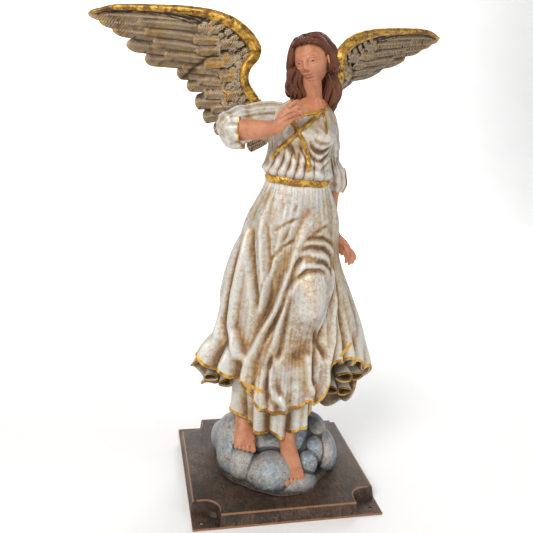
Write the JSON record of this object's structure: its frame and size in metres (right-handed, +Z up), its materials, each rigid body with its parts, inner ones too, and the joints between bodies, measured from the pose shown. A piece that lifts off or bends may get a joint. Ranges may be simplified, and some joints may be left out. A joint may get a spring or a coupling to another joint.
{
  "type": "garden angel statue",
  "caption": "Life-size painted cast angel with raised gilt wings, in a long gown on a cloud, on a low square plinth that bolts down",
  "frame": {"origin": "centre of the plinth's underside", "axes": "+Z up to the crown, -Y the way the figure faces, +X to the viewer's right"},
  "size_m": [1.5736, 0.9165, 1.9214],
  "materials": {
    "plinth_patina": "satin",
    "figure_paint": "satin",
    "wing_gilt": "satin"
  },
  "bodies": {
    "root": {"plinth": "plinth_patina", "figure": "figure_paint", "wing_right": "wing_gilt", "wing_left": "wing_gilt"}
  },
  "joints": []
}
